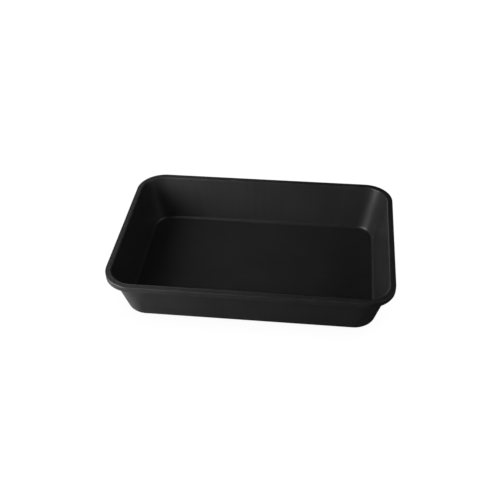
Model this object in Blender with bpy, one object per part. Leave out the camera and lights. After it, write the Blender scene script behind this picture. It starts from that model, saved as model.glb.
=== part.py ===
"""Paint roller tray: a deep, flat-floored rectangular tray, injection moulded in one shot.

One closed shell carries every feature of the moulding: the floor with its gate mark, the drafted
walls, and the lip that turns out and down round the top. Metres, +Z up, +X along the length. The
origin is on the ground, under the middle of the tray.
"""

import math

import bmesh
import bpy

# Driving dimensions
LENGTH = 0.400  # over the lip
WIDTH = 0.276  # over the lip
HEIGHT = 0.070  # ground to the top of the lip
WALL = 0.0022  # floor and walls
DRAFT = math.radians(13.3)  # lean of the walls from the vertical
LIP_WIDTH = 0.0086  # outer edge of the lip to the inside of the wall
LIP_DROP = 0.0083  # top of the lip to the skirt's lower edge
LIP_WALL = 0.0020  # lip and skirt
RIM_CORNER = 0.042  # plan radius of the lip's outer edge
FLOOR_CORNER = 0.029  # plan radius of the inside where the walls meet the floor

# Radii of the section's edges
FLOOR_FILLET = 0.005  # inside, floor to wall
BASE_ROUND = 0.006  # outside, wall to underside
MOUTH_ROUND = 0.0026  # inside of the wall to the top of the lip
LIP_ROUND = 0.0010  # top of the lip to the skirt
SKIRT_ROUND = 0.0006  # both edges of the skirt's end
LIP_ROOT_ROUND = 0.0012  # underneath, lip to skirt and lip to wall

# Underside: the tray stands on a flat band round a shallow recess
FOOT_BAND = 0.017  # outside of the wall to the recess
FOOT_RECESS = 0.0005

# Gate mark in the middle of the floor: a plain ring, and inside it a dimple with the sprue's nub
RING_RADIUS = 0.022
RING_WIDTH = 0.0010
RING_HEIGHT = 0.0001
DIMPLE_RADIUS = 0.0055
DIMPLE_DEPTH = 0.00015
NUB_RADIUS = 0.0012
NUB_HEIGHT = 0.0001  # above the floor
MARK_SLOPE = 0.0006  # run of the sloping sides of these marks

# Facets
CORNER_STEPS = 9  # in each quarter turn of a plan corner
ROUND_ANGLE = math.radians(18)  # most that one step of a rounded edge turns
WELD = 0.00001
SHARP_ANGLE = math.radians(35)

# Black polypropylene
BLACK = 0.030
GLOSS_ROUGHNESS = 0.32


def wall_inset(z, outside=False):
    """How far a wall's face at height z is inside the lip's outer edge."""
    inset = LIP_WIDTH + (HEIGHT - z) * math.tan(DRAFT)
    return inset - WALL / math.cos(DRAFT) if outside else inset


def wall_corner(z, outside=False):
    """Plan radius of the walls' corners at height z. The corners are cones, less tapered than the walls."""
    share = (HEIGHT - z) / (HEIGHT - WALL)
    mouth_corner = RIM_CORNER - LIP_WIDTH
    radius = mouth_corner + (FLOOR_CORNER - mouth_corner) * share
    return radius + WALL / math.cos(DRAFT) if outside else radius


def section_corners():
    """The section's corners, from the floor over the lip to the underside: (inset, z, plan radius, round)."""
    skirt_end = HEIGHT - LIP_DROP
    lip_under = HEIGHT - LIP_WALL
    return [
        (wall_inset(WALL), WALL, FLOOR_CORNER, FLOOR_FILLET),
        (LIP_WIDTH, HEIGHT, RIM_CORNER - LIP_WIDTH, MOUTH_ROUND),
        (0.0, HEIGHT, RIM_CORNER, LIP_ROUND),
        (0.0, skirt_end, RIM_CORNER, SKIRT_ROUND),
        (LIP_WALL, skirt_end, RIM_CORNER - LIP_WALL, SKIRT_ROUND),
        (LIP_WALL, lip_under, RIM_CORNER - LIP_WALL, LIP_ROOT_ROUND),
        (wall_inset(lip_under, True), lip_under, wall_corner(lip_under, True), LIP_ROOT_ROUND),
        (wall_inset(0.0, True), 0.0, wall_corner(0.0, True), BASE_ROUND),
    ]


def unit(dx, dz):
    size = math.hypot(dx, dz)
    return dx / size, dz / size


def rounded_corner(before, corner, after):
    """Rings (inset, z, plan radius) along the arc that rounds one corner of the section."""
    inset, z, plan, radius = corner
    to_before = unit(before[0] - inset, before[1] - z)
    to_after = unit(after[0] - inset, after[1] - z)
    inner_angle = math.acos(to_before[0] * to_after[0] + to_before[1] * to_after[1])
    bisector = unit(to_before[0] + to_after[0], to_before[1] + to_after[1])
    reach = radius / math.sin(inner_angle / 2)
    centre = (inset + bisector[0] * reach, z + bisector[1] * reach)
    tangent = radius / math.tan(inner_angle / 2)
    start = (inset + to_before[0] * tangent - centre[0], z + to_before[1] * tangent - centre[1])
    end = (inset + to_after[0] * tangent - centre[0], z + to_after[1] * tangent - centre[1])
    turn = math.atan2(start[0] * end[1] - start[1] * end[0], start[0] * end[0] + start[1] * end[1])
    steps = math.ceil(abs(turn) / ROUND_ANGLE)
    rings = []
    for step in range(steps + 1):
        angle = turn * step / steps
        point_inset = centre[0] + start[0] * math.cos(angle) - start[1] * math.sin(angle)
        point_z = centre[1] + start[0] * math.sin(angle) + start[1] * math.cos(angle)
        rings.append((point_inset, point_z, plan - (point_inset - inset)))
    return rings


def shell_rings():
    """Rings from the floor's edge up the inside, over the lip, down the outside and under the foot."""
    floor_end = (WIDTH / 2, WALL)
    base_end = (WIDTH / 2, 0.0)
    path = [floor_end, *section_corners(), base_end]
    rings = []
    for before, corner, after in zip(path, path[1:], path[2:]):
        rings += rounded_corner(before, corner, after)
    return rings


def foot_rings():
    """The foot band's inner edge, and the edge of the recess that slopes up from it."""
    rings = []
    for rise in (0.0, FOOT_RECESS):
        reach = FOOT_BAND + rise
        rings.append((wall_inset(0.0, True) + reach, rise, wall_corner(0.0, True) - reach))
    return rings


def mark_circles():
    """The marks in the floor as (radius, z), from the middle out."""
    ring_out = RING_RADIUS + RING_WIDTH / 2
    ring_in = RING_RADIUS - RING_WIDTH / 2
    bottom = WALL - DIMPLE_DEPTH
    return [
        (NUB_RADIUS, WALL + NUB_HEIGHT),
        (NUB_RADIUS + MARK_SLOPE, bottom),
        (DIMPLE_RADIUS - MARK_SLOPE, bottom),
        (DIMPLE_RADIUS, WALL),
        (ring_in - MARK_SLOPE, WALL),
        (ring_in, WALL + RING_HEIGHT),
        (ring_out, WALL + RING_HEIGHT),
        (ring_out + MARK_SLOPE, WALL),
    ]


def ring_points(half_length, half_width, plan, z):
    """A rounded rectangle at height z, anticlockwise from above. Three equal sizes make it a circle."""
    points = []
    for quarter in range(4):
        centre_x = (half_length - plan) * (1 if quarter in (0, 3) else -1)
        centre_y = (half_width - plan) * (1 if quarter in (0, 1) else -1)
        for step in range(CORNER_STEPS + 1):
            angle = math.radians(90) * (quarter + step / CORNER_STEPS)
            points.append((centre_x + plan * math.cos(angle), centre_y + plan * math.sin(angle), z))
    return points


def all_rings():
    """Every ring of the moulding, from the nub in the middle of the floor to the recess under it."""
    rings = [ring_points(radius, radius, radius, z) for radius, z in mark_circles()]
    for inset, z, plan in shell_rings() + foot_rings():
        rings.append(ring_points(LENGTH / 2 - inset, WIDTH / 2 - inset, plan, z))
    return rings


def black_polypropylene():
    material = bpy.data.materials.new("black_polypropylene")
    material.use_nodes = True
    shader = material.node_tree.nodes["Principled BSDF"]
    shader.inputs["Base Color"].default_value = (BLACK, BLACK, BLACK, 1.0)
    shader.inputs["Roughness"].default_value = GLOSS_ROUGHNESS
    shader.inputs["Metallic"].default_value = 0.0
    return material


def tray_body():
    """Skins the rings into one closed shell and caps its two ends, the nub's top and the recess."""
    mesh = bpy.data.meshes.new("tray_body")
    shell = bmesh.new()
    rings = [[shell.verts.new(point) for point in ring] for ring in all_rings()]
    count = len(rings[0])
    for inner, outer in zip(rings, rings[1:]):
        for i in range(count):
            j = (i + 1) % count
            shell.faces.new((inner[i], outer[i], outer[j], inner[j]))
    shell.faces.new(rings[0])
    shell.faces.new(list(reversed(rings[-1])))
    bmesh.ops.remove_doubles(shell, verts=shell.verts, dist=WELD)
    bmesh.ops.dissolve_degenerate(shell, dist=WELD, edges=shell.edges)
    bmesh.ops.recalc_face_normals(shell, faces=shell.faces)
    shell.to_mesh(mesh)
    shell.free()
    mesh.shade_smooth()
    mesh.set_sharp_from_angle(angle=SHARP_ANGLE)
    mesh.materials.append(black_polypropylene())
    body = bpy.data.objects.new("tray_body", mesh)
    bpy.context.scene.collection.objects.link(body)
    return body


def clear_scene():
    for obj in list(bpy.data.objects):
        bpy.data.objects.remove(obj, do_unlink=True)


def main():
    clear_scene()
    tray_body()


main()
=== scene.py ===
import math

import bmesh
import bpy
from mathutils import Matrix, Vector


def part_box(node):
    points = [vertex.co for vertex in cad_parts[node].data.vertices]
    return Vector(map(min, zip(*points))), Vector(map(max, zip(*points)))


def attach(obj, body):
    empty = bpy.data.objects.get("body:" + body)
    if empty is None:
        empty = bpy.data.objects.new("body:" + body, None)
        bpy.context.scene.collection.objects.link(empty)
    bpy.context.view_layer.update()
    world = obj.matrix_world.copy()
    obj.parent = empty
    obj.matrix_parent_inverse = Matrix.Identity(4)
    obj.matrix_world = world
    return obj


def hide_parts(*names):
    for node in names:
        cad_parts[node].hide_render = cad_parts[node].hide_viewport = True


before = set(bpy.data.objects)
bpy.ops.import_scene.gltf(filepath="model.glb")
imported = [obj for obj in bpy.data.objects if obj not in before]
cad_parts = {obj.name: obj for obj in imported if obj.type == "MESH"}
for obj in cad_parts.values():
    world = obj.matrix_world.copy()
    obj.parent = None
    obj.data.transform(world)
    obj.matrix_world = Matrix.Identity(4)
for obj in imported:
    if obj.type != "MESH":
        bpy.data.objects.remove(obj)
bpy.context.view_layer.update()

# The looks of a paint tray moulded in black polypropylene: one fine-meshed shell in place of the CAD
# solid, a pale floor and soft studio light. Metres, in the CAD's frame: +X along the tray, +Z up, origin
# on the ground.

TRAY_LOW, TRAY_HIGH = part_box("tray_body")
LENGTH = TRAY_HIGH[0] - TRAY_LOW[0]
WIDTH = TRAY_HIGH[1] - TRAY_LOW[1]
HEIGHT = TRAY_HIGH[2] - TRAY_LOW[2]

# Section of the moulding
WALL = 0.0022  # floor and walls
DRAFT = math.radians(13.3)  # lean of the walls from the vertical
LIP_WIDTH = 0.0086  # outer edge of the lip to the inside of the wall
LIP_DROP = 0.0083  # top of the lip to the skirt's lower edge
LIP_WALL = 0.0020  # lip and skirt
RIM_CORNER = 0.042  # plan radius of the lip's outer edge
FLOOR_CORNER = 0.029  # plan radius of the inside where the walls meet the floor
FLOOR_FILLET = 0.005  # inside, floor to wall
BASE_ROUND = 0.006  # outside, wall to underside
MOUTH_ROUND = 0.0026  # inside of the wall to the top of the lip
LIP_ROUND = 0.0010  # top of the lip to the skirt
SKIRT_ROUND = 0.0006  # both edges of the skirt's end
LIP_ROOT_ROUND = 0.0012  # underneath, lip to skirt and lip to wall
FOOT_BAND = 0.017  # outside of the wall to the recess in the underside; the tray stands on this band
FOOT_RECESS = 0.0005
FOOT_ROUND = 0.0003  # both edges of the step up into the recess

# Gate mark in the middle of the floor: a plain ring, and inside it a dimple with the sprue's nub
RING_RADIUS = 0.022
RING_WIDTH = 0.0010
RING_HEIGHT = 0.0001
DIMPLE_RADIUS = 0.0055
DIMPLE_DEPTH = 0.00015
NUB_RADIUS = 0.0012
NUB_HEIGHT = 0.0001  # above the floor
MARK_SLOPE = 0.0006  # run of the sloping sides of these marks
MARK_ROUND = 0.0010

# Fineness of the mesh
CORNER_STEPS = 24  # in each quarter turn of a plan corner
SIDE_STEPS = 28  # along each straight side
ROUND_ANGLE = math.radians(12)  # most that one step of a rounded edge turns
ROUND_STEPS = 3  # fewest steps in a rounded edge
PANEL_STEP = 0.006  # between rings up a wall
CAP_STEP = 0.012  # between rings across the floor and underneath
SUPPORT = 0.0002  # ring this far from each end of a flat stretch, which keeps the shading of the flat clean
BASE_MIDDLE = 0.003  # radius of the innermost ring underneath

# Black polypropylene
BLACK = 0.030
CLOUD_GREY = 0.004  # how much darker and lighter the clouds in it are
STREAK_GREY = 0.003  # and its flow streaks
RUBBED_GREY = 0.045  # where an edge is rubbed
GLOSS_ROUGHNESS = 0.32
CLOUD_ROUGHNESS = 0.020  # change of roughness from cloud to cloud
STREAK_ROUGHNESS = 0.010  # and from streak to streak
RUBBED_ROUGHNESS = 0.08  # and on a rubbed edge
SPECULAR_LEVEL = 0.4
CLOUD_SIZE = 0.060
STREAK_ANGLE = 0.06  # radians, seen from the gate
SPECK_SIZE = 0.0012  # of the specks that break up the rubbed edges
PEEL_SIZE = 0.005  # slow waves of the moulded surface
PEEL_DEPTH = 0.000006
GRAIN_SIZE = 0.0005  # fine spark-eroded grain
GRAIN_DEPTH = 0.000004
NOISE_LOW = 0.2  # nearly all of a noise lies between these two values
NOISE_HIGH = 0.8
NOISE_DETAIL = 2.0
STREAK_DETAIL = 3.0

# Camera
CAMERA_PLACE = Vector((0.1051, -0.8843, 0.7637))
CAMERA_YAW = math.radians(7.394)  # turned left of +Y
CAMERA_PITCH = math.radians(39.246)  # below the horizontal
CAMERA_ROLL = math.radians(-1.2416)
SENSOR_WIDTH = 36.0
LENS = 55.5
CLIP_END = 100.0

# Stage
FLOOR_SIZE = 12.0
TABLE_DROP = 0.0005  # the grey table lies this far under the white floor
TABLE_GREY = 0.15
# Painted light: a lighter patch on the grey table stands for the pool of light that the close key throws
# left of the tray. Only the tray's reflections see it.
LIGHT_POOL_SIZE = 0.5
LIGHT_POOL_DROP = 0.0003  # the painted pool of light on the table, left of the tray, lies this far under the white floor
LIGHT_POOL_OVERLAP = 0.04  # and reaches this far under the tray's lip
LIGHT_POOL_GREY = 0.35
FLOOR_GLOW = 1.03  # a little over white, so that the floor and the background are evenly white
PAINTED_SHADOW_REACH = 0.05  # how far the tray's painted soft shadow spreads over the floor
PAINTED_SHADOW_LEVEL = 0.92  # brightness of the floor in the deepest of that painted shadow

# Lights: a key close by on the left, and fills to the left, right, above and behind.
# Each is (name, azimuth and elevation in degrees, distance, width, height, power in watts).
SOFTBOXES = [
    ("key_left", -62, 26, 0.6, 0.35, 0.3, 2.15),
    ("key_low", -55, 16, 0.6, 0.3, 0.35, 1.35),
    ("fill_left", -46, 22, 1.5, 0.8, 0.6, 5.0),
    ("fill_right", 80, 32, 1.8, 1.0, 0.8, 5.0),
    ("fill_top", -60, 68, 1.6, 0.5, 0.5, 1.15),
    ("fill_back", 200, 12, 1.8, 1.0, 0.6, 2.5),
]


# ---- The tray's mesh ----
# A corner of the section is (inset, z, plan corner radius, round, rubbed).
# A ring of the mesh is (inset, z, plan corner radius, rubbed).

def wall_inset(z, outside=False):
    """How far a wall's face at height z is inside the lip's outer edge."""
    inset = LIP_WIDTH + (HEIGHT - z) * math.tan(DRAFT)
    return inset - WALL / math.cos(DRAFT) if outside else inset


def wall_corner(z, outside=False):
    """Plan radius of the walls' corners at height z. The corners are cones, less tapered than the walls."""
    share = (HEIGHT - z) / (HEIGHT - WALL)
    mouth_corner = RIM_CORNER - LIP_WIDTH
    radius = mouth_corner + (FLOOR_CORNER - mouth_corner) * share
    return radius + WALL / math.cos(DRAFT) if outside else radius


def section_corners():
    """The section's corners, from the floor over the lip to the recess underneath."""
    skirt_end = HEIGHT - LIP_DROP
    lip_under = HEIGHT - LIP_WALL
    base_inset = wall_inset(0.0, True)
    base_corner = wall_corner(0.0, True)
    recess_band = FOOT_BAND + FOOT_RECESS
    return [
        (wall_inset(WALL), WALL, FLOOR_CORNER, FLOOR_FILLET, 0.0),
        (LIP_WIDTH, HEIGHT, RIM_CORNER - LIP_WIDTH, MOUTH_ROUND, 0.5),
        (0.0, HEIGHT, RIM_CORNER, LIP_ROUND, 1.0),
        (0.0, skirt_end, RIM_CORNER, SKIRT_ROUND, 1.0),
        (LIP_WALL, skirt_end, RIM_CORNER - LIP_WALL, SKIRT_ROUND, 0.3),
        (LIP_WALL, lip_under, RIM_CORNER - LIP_WALL, LIP_ROOT_ROUND, 0.0),
        (wall_inset(lip_under, True), lip_under, wall_corner(lip_under, True), LIP_ROOT_ROUND, 0.0),
        (base_inset, 0.0, base_corner, BASE_ROUND, 0.4),
        (base_inset + FOOT_BAND, 0.0, base_corner - FOOT_BAND, FOOT_ROUND, 0.8),
        (base_inset + recess_band, FOOT_RECESS, base_corner - recess_band, FOOT_ROUND, 0.0),
    ]


def mark_corners():
    """The gate mark's corners from the middle of the floor out. Their insets are radii."""
    ring_out = RING_RADIUS + RING_WIDTH / 2
    ring_in = RING_RADIUS - RING_WIDTH / 2
    bottom = WALL - DIMPLE_DEPTH
    outline = [
        (NUB_RADIUS, WALL + NUB_HEIGHT),
        (NUB_RADIUS + MARK_SLOPE, bottom),
        (DIMPLE_RADIUS - MARK_SLOPE, bottom),
        (DIMPLE_RADIUS, WALL),
        (ring_in - MARK_SLOPE, WALL),
        (ring_in, WALL + RING_HEIGHT),
        (ring_out, WALL + RING_HEIGHT),
        (ring_out + MARK_SLOPE, WALL),
    ]
    return [(radius, z, 0.0, MARK_ROUND, 0.0) for radius, z in outline]


def unit(dx, dz):
    size = math.hypot(dx, dz)
    return dx / size, dz / size


def rounded_corner(before, corner, after):
    """Rings along the arc that rounds one corner of a section. The middle of the arc is rubbed the most."""
    inset, z, plan, radius, rubbed = corner
    to_before = unit(before[0] - inset, before[1] - z)
    to_after = unit(after[0] - inset, after[1] - z)
    inner_angle = math.acos(to_before[0] * to_after[0] + to_before[1] * to_after[1])
    bisector = unit(to_before[0] + to_after[0], to_before[1] + to_after[1])
    reach = radius / math.sin(inner_angle / 2)
    centre = (inset + bisector[0] * reach, z + bisector[1] * reach)
    tangent = radius / math.tan(inner_angle / 2)
    start = (inset + to_before[0] * tangent - centre[0], z + to_before[1] * tangent - centre[1])
    end = (inset + to_after[0] * tangent - centre[0], z + to_after[1] * tangent - centre[1])
    turn = math.atan2(start[0] * end[1] - start[1] * end[0], start[0] * end[0] + start[1] * end[1])
    steps = max(ROUND_STEPS, math.ceil(abs(turn) / ROUND_ANGLE))
    rings = []
    for step in range(steps + 1):
        angle = turn * step / steps
        ring_inset = centre[0] + start[0] * math.cos(angle) - start[1] * math.sin(angle)
        ring_z = centre[1] + start[0] * math.sin(angle) + start[1] * math.cos(angle)
        ring_rubbed = rubbed * math.sin(math.pi * step / steps)
        rings.append((ring_inset, ring_z, plan - (ring_inset - inset), ring_rubbed))
    return rings


def stretch_shares(span, spacing):
    """Places along a flat stretch, as shares of it: one near each end, and evenly spaced ones between."""
    margin = min(SUPPORT / span, 1 / 3)
    steps = max(1, round(span / spacing))
    return [margin, *(step / steps for step in range(1, steps)), 1 - margin]


def rounded_path(path):
    """Rings along a section: the rounding at each corner but the first and last, and the flats between."""
    rings = []
    for before, corner, after in zip(path, path[1:], path[2:]):
        arc = rounded_corner(before, corner, after)
        if rings:
            start, end = rings[-1], arc[0]
            shares = stretch_shares(math.hypot(end[0] - start[0], end[1] - start[1]), PANEL_STEP)
            rings += [tuple(a + (b - a) * share for a, b in zip(start, end)) for share in shares]
        rings += arc
    return rings


def shell_rings():
    """Rings from the floor's edge up the inside, over the lip, down the outside and round to the recess."""
    corners = section_corners()
    floor_end = (WIDTH / 2, WALL)
    recess_end = (WIDTH / 2, FOOT_RECESS)
    return rounded_path([floor_end, *corners, recess_end])


def mark_rings():
    """Circles of the gate mark, from the nub out."""
    corners = mark_corners()
    nub_middle = (0.0, WALL + NUB_HEIGHT)
    floor_end = (WIDTH / 2, WALL)
    return rounded_path([nub_middle, *corners, floor_end])


def outline_points(ring):
    """A rounded rectangle, anticlockwise from above, with the same number of points whatever its size."""
    inset, z, plan, _ = ring
    half_length = LENGTH / 2 - inset
    half_width = WIDTH / 2 - inset
    corners = []
    for quarter in range(4):
        centre_x = (half_length - plan) * (1 if quarter in (0, 3) else -1)
        centre_y = (half_width - plan) * (1 if quarter in (0, 1) else -1)
        arc = []
        for step in range(CORNER_STEPS + 1):
            angle = math.radians(90) * (quarter + step / CORNER_STEPS)
            arc.append(Vector((centre_x + plan * math.cos(angle), centre_y + plan * math.sin(angle), z)))
        corners.append(arc)
    points = []
    for arc, following in zip(corners, corners[1:] + corners[:1]):
        points += arc
        points += [arc[-1].lerp(following[0], step / SIDE_STEPS) for step in range(1, SIDE_STEPS)]
    return points


def circle_points(radius, z, guide):
    """A circle whose points lie on the lines from the middle to the guide ring's points."""
    height = Vector((0.0, 0.0, z))
    return [Vector((point.x, point.y, 0.0)).normalized() * radius + height for point in guide]


def blended_rings(start, end, span):
    """Rings on the flat between two rings that are this far apart in the middle of the long sides."""
    shares = stretch_shares(span, CAP_STEP)
    return [([a.lerp(b, share) for a, b in zip(start, end)], 0.0) for share in shares]


def tray_rings():
    """Every ring as (points, rubbed), from the nub on the floor over the lip to the middle underneath."""
    shell = shell_rings()
    outlines = [(outline_points(ring), ring[3]) for ring in shell]
    floor_edge = outlines[0][0]
    recess_edge = outlines[-1][0]
    marks = [(circle_points(ring[0], ring[1], floor_edge), ring[3]) for ring in mark_rings()]
    floor = blended_rings(marks[-1][0], floor_edge, WIDTH / 2 - shell[0][0] - RING_RADIUS)
    middle = circle_points(BASE_MIDDLE, FOOT_RECESS, recess_edge)
    base = blended_rings(recess_edge, middle, WIDTH / 2 - shell[-1][0] - BASE_MIDDLE)
    return marks + floor + outlines + base + [(middle, 0.0)]


def fan(shell, ring, flipped):
    """Closes a small ring with triangles round a point in its middle."""
    middle = shell.verts.new(sum((vert.co for vert in ring), Vector()) / len(ring))
    for a, b in zip(ring, ring[1:] + ring[:1]):
        shell.faces.new((middle, b, a) if flipped else (middle, a, b))


def link(obj):
    bpy.context.scene.collection.objects.link(obj)
    return obj


def tray_shell():
    """The tray as one closed, fine-meshed shell. Its attribute "rubbed" says how rubbed each point is."""
    shell = bmesh.new()
    rubbed_layer = shell.verts.layers.float.new("rubbed")
    rings = []
    for points, rubbed in tray_rings():
        ring = [shell.verts.new(point) for point in points]
        for vert in ring:
            vert[rubbed_layer] = rubbed
        rings.append(ring)
    for inner, outer in zip(rings, rings[1:]):
        for i in range(len(inner)):
            j = (i + 1) % len(inner)
            shell.faces.new((inner[i], outer[i], outer[j], inner[j]))
    fan(shell, rings[0], flipped=False)
    fan(shell, rings[-1], flipped=True)
    bmesh.ops.recalc_face_normals(shell, faces=shell.faces)
    mesh = bpy.data.meshes.new("tray_shell")
    shell.to_mesh(mesh)
    shell.free()
    mesh.shade_smooth()
    return link(bpy.data.objects.new("tray_shell", mesh))


# ---- Materials ----

def new_material(name):
    material = bpy.data.materials.new(name)
    material.use_nodes = True
    return material


def add_node(material, kind, inputs, **settings):
    """Adds a node. Its inputs are set to plain values, or joined to other nodes' outputs."""
    node = material.node_tree.nodes.new(kind)
    for name, value in settings.items():
        setattr(node, name, value)
    for name, value in inputs.items():
        if isinstance(value, bpy.types.NodeSocket):
            material.node_tree.links.new(value, node.inputs[name])
        else:
            node.inputs[name].default_value = value
    return node


def noise(material, place, size, detail=NOISE_DETAIL):
    """A noise from 0 to 1 whose lumps are about this size."""
    inputs = {"Vector": place, "Scale": 1 / size, "Detail": detail}
    return add_node(material, "ShaderNodeTexNoise", inputs).outputs["Fac"]


def spread(material, value, low, high):
    """Spreads a noise over the range from low to high."""
    inputs = {
        "Value": value,
        "From Min": NOISE_LOW,
        "From Max": NOISE_HIGH,
        "To Min": low,
        "To Max": high,
    }
    return add_node(material, "ShaderNodeMapRange", inputs).outputs["Result"]


def combine(material, operation, a, b):
    return add_node(material, "ShaderNodeMath", {0: a, 1: b}, operation=operation).outputs["Value"]


def vector_math(material, operation, inputs):
    return add_node(material, "ShaderNodeVectorMath", inputs, operation=operation).outputs["Vector"]


def flow_streaks(material, place):
    """Faint streaks that run out from the gate across the floor and up the walls, as the plastic flowed."""
    level = vector_math(material, "MULTIPLY", {0: place, 1: (1.0, 1.0, 0.0)})
    direction = vector_math(material, "NORMALIZE", {0: level})
    return noise(material, direction, STREAK_ANGLE, detail=STREAK_DETAIL)


def bump(material, height, depth, **inputs):
    inputs.update(Height=height, Distance=depth)
    return add_node(material, "ShaderNodeBump", inputs).outputs["Normal"]


def moulded_surface(material, place):
    """The slow waves and the fine grain of the mould's surface, as a normal."""
    waves = bump(material, noise(material, place, PEEL_SIZE), PEEL_DEPTH)
    return bump(material, noise(material, place, GRAIN_SIZE), GRAIN_DEPTH, Normal=waves)


def black_polypropylene():
    """Black plastic with a half gloss: clouds and flow streaks in it, a fine grain, and rubbed edges."""
    material = new_material("black_polypropylene")
    place = add_node(material, "ShaderNodeTexCoord", {}).outputs["Object"]
    clouds = noise(material, place, CLOUD_SIZE)
    streaks = flow_streaks(material, place)
    edges = add_node(material, "ShaderNodeAttribute", {}, attribute_name="rubbed").outputs["Fac"]
    specks = spread(material, noise(material, place, SPECK_SIZE), 0.0, 1.0)
    rubbed = combine(material, "MULTIPLY", edges, specks)

    plain = spread(material, clouds, BLACK - CLOUD_GREY, BLACK + CLOUD_GREY)
    grey = combine(material, "ADD", plain, spread(material, streaks, -STREAK_GREY, STREAK_GREY))
    colour = add_node(material, "ShaderNodeMix", {"Factor": rubbed, "A": grey, "B": RUBBED_GREY})
    roughness = GLOSS_ROUGHNESS
    changes = [
        spread(material, clouds, -CLOUD_ROUGHNESS, CLOUD_ROUGHNESS),
        spread(material, streaks, -STREAK_ROUGHNESS, STREAK_ROUGHNESS),
        combine(material, "MULTIPLY", rubbed, RUBBED_ROUGHNESS),
    ]
    for change in changes:
        roughness = combine(material, "ADD", roughness, change)

    shader = material.node_tree.nodes["Principled BSDF"]
    links = material.node_tree.links
    links.new(colour.outputs["Result"], shader.inputs["Base Color"])
    links.new(roughness, shader.inputs["Roughness"])
    links.new(moulded_surface(material, place), shader.inputs["Normal"])
    shader.inputs["Specular IOR Level"].default_value = SPECULAR_LEVEL
    return material


def pale_floor():
    """An evenly glowing white sweep with a painted shadow: it glows by itself, and a little less close
    under and round the tray, where ambient occlusion paints the tray's soft shadow.
    """
    material = new_material("pale_floor")
    nodes = material.node_tree.nodes
    nodes.remove(nodes["Principled BSDF"])
    # Painted shadow: the floor's glow is dimmed by ambient occlusion where the tray is near.
    nearby = add_node(material, "ShaderNodeAmbientOcclusion", {"Distance": PAINTED_SHADOW_REACH})
    shade = add_node(material, "ShaderNodeMapRange", {
        "Value": nearby.outputs["AO"],
        "To Min": PAINTED_SHADOW_LEVEL,
        "To Max": FLOOR_GLOW,
    })
    glow = add_node(material, "ShaderNodeEmission", {"Strength": shade.outputs["Result"]})
    material.node_tree.links.new(glow.outputs["Emission"], nodes["Material Output"].inputs["Surface"])
    return material


def matt_grey(name, grey):
    material = new_material(name)
    shader = material.node_tree.nodes["Principled BSDF"]
    shader.inputs["Base Color"].default_value = (grey, grey, grey, 1.0)
    shader.inputs["Roughness"].default_value = 1.0
    shader.inputs["Specular IOR Level"].default_value = 0.0
    return material


# ---- Stage, light and camera ----

def stage_plane(name, material, size, x, z):
    bpy.ops.mesh.primitive_plane_add(size=size, location=(x, 0.0, z))
    plane = bpy.context.object
    plane.name = name
    plane.data.materials.append(material)
    return plane


def stage():
    """The camera sees a white floor with a painted shadow. The tray sees a grey table, and on it, left of
    the tray, a lighter patch of painted light that stands for the close key's pool of light.
    """
    floor = stage_plane("stage_floor", pale_floor(), FLOOR_SIZE, 0.0, 0.0)
    floor.visible_diffuse = False
    floor.visible_glossy = False
    floor.visible_shadow = False
    table = stage_plane("stage_table", matt_grey("grey_table", TABLE_GREY), FLOOR_SIZE, 0.0, -TABLE_DROP)
    table.visible_camera = False
    # Painted light: a lighter patch in place of the key's pool of light on the table.
    light_pool_x = TRAY_LOW[0] + LIGHT_POOL_OVERLAP - LIGHT_POOL_SIZE / 2
    light_pool = stage_plane("stage_light_pool", matt_grey("painted_light_pool", LIGHT_POOL_GREY), LIGHT_POOL_SIZE, light_pool_x, -LIGHT_POOL_DROP)
    light_pool.visible_camera = False


def softbox(name, azimuth, elevation, distance, width, height, power):
    """An area light that faces the tray. Azimuth 0 is in front of it (-Y), 90 to its right (+X)."""
    light = bpy.data.lights.new(name, "AREA")
    light.shape = "RECTANGLE"
    light.size = width
    light.size_y = height
    light.energy = power
    lamp = link(bpy.data.objects.new(name, light))
    turn = math.radians(azimuth)
    rise = math.radians(elevation)
    lamp.location = Vector((
        math.sin(turn) * math.cos(rise),
        -math.cos(turn) * math.cos(rise),
        math.sin(rise),
    )) * distance
    lamp.rotation_euler = lamp.location.to_track_quat("Z", "Y").to_euler()


def studio_light():
    """The softboxes, and white surroundings that only the camera sees."""
    for values in SOFTBOXES:
        softbox(*values)
    world = bpy.data.worlds.new("studio")
    world.use_nodes = True
    world.node_tree.nodes["Background"].inputs["Color"].default_value = (1.0, 1.0, 1.0, 1.0)
    world.node_tree.nodes["Background"].inputs["Strength"].default_value = FLOOR_GLOW
    world.cycles_visibility.diffuse = False
    world.cycles_visibility.glossy = False
    bpy.context.scene.world = world
    bpy.context.scene.view_settings.view_transform = "Standard"


def camera():
    """The camera looks back and down at the tray from in front of it."""
    forward = Vector((
        -math.sin(CAMERA_YAW) * math.cos(CAMERA_PITCH),
        math.cos(CAMERA_YAW) * math.cos(CAMERA_PITCH),
        -math.sin(CAMERA_PITCH),
    ))
    level = Vector((math.cos(CAMERA_YAW), math.sin(CAMERA_YAW), 0.0))
    right = Matrix.Rotation(CAMERA_ROLL, 3, -forward) @ level
    up = right.cross(forward)
    data = bpy.data.cameras.new("camera")
    data.sensor_width = SENSOR_WIDTH
    data.lens = LENS
    data.clip_end = CLIP_END
    view = link(bpy.data.objects.new("camera", data))
    turned = Matrix((right, up, -forward)).transposed().to_4x4()
    view.matrix_world = Matrix.Translation(CAMERA_PLACE) @ turned
    bpy.context.scene.camera = view


def main():
    camera()
    shell = tray_shell()
    shell.data.materials.append(black_polypropylene())
    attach(shell, "root")
    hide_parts("tray_body")
    stage()
    studio_light()


main()
